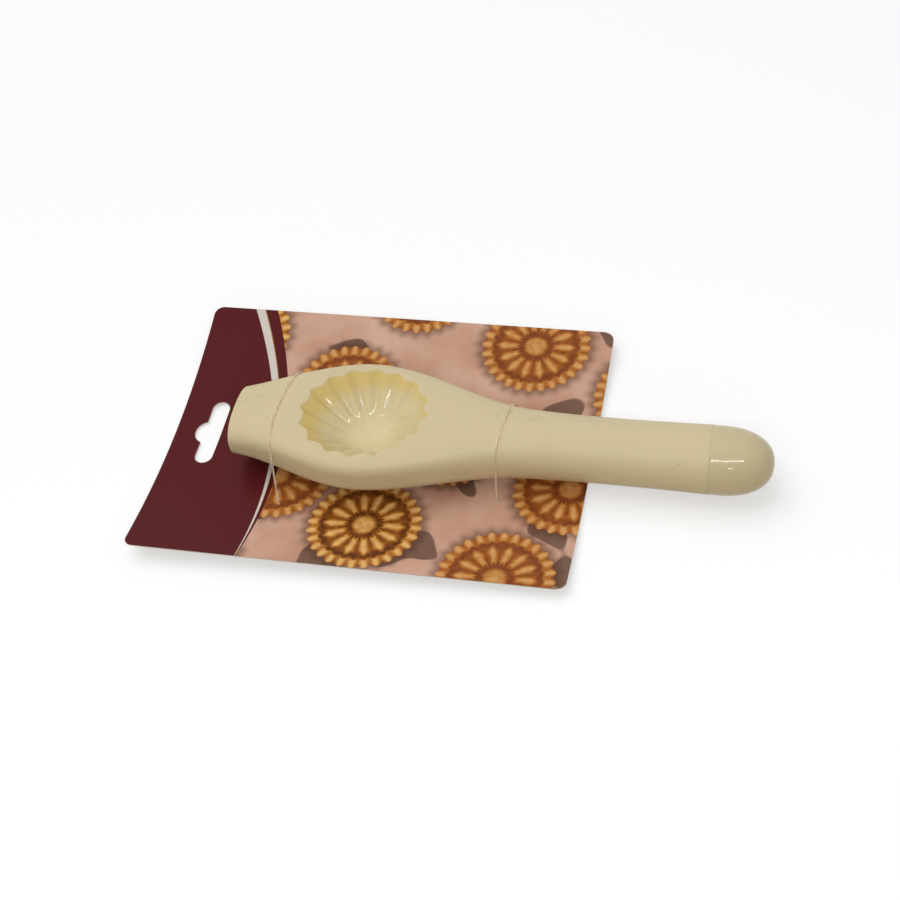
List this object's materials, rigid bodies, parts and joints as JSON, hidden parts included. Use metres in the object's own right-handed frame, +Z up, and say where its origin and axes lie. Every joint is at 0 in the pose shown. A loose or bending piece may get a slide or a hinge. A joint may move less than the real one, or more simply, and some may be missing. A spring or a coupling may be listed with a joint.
{
  "type": "maamoul mold",
  "caption": "Hollow plastic paddle mold with a fluted oval cavity for shaping filled cookies and a plugged round handle, tied by clear filaments to a hang card.",
  "frame": {"origin": "middle of the footprint, at the surface that the part lies on", "axes": "+X along the mold from its nose to its cap, +Y across the card, +Z up out of the card's printed face"},
  "size_m": [0.2436, 0.1282, 0.0276],
  "materials": {
    "ivory_satin": "satin moulded ivory plastic",
    "ivory_gloss": "polished moulded ivory plastic",
    "printed_card": "gloss laminated printed paperboard",
    "clear_filament": "clear elastic filament"
  },
  "bodies": {
    "root": {"mold_body": "ivory_satin", "end_cap": "ivory_gloss", "backing_card": "printed_card", "nose_tie": "clear_filament", "handle_tie": "clear_filament"}
  },
  "joints": []
}
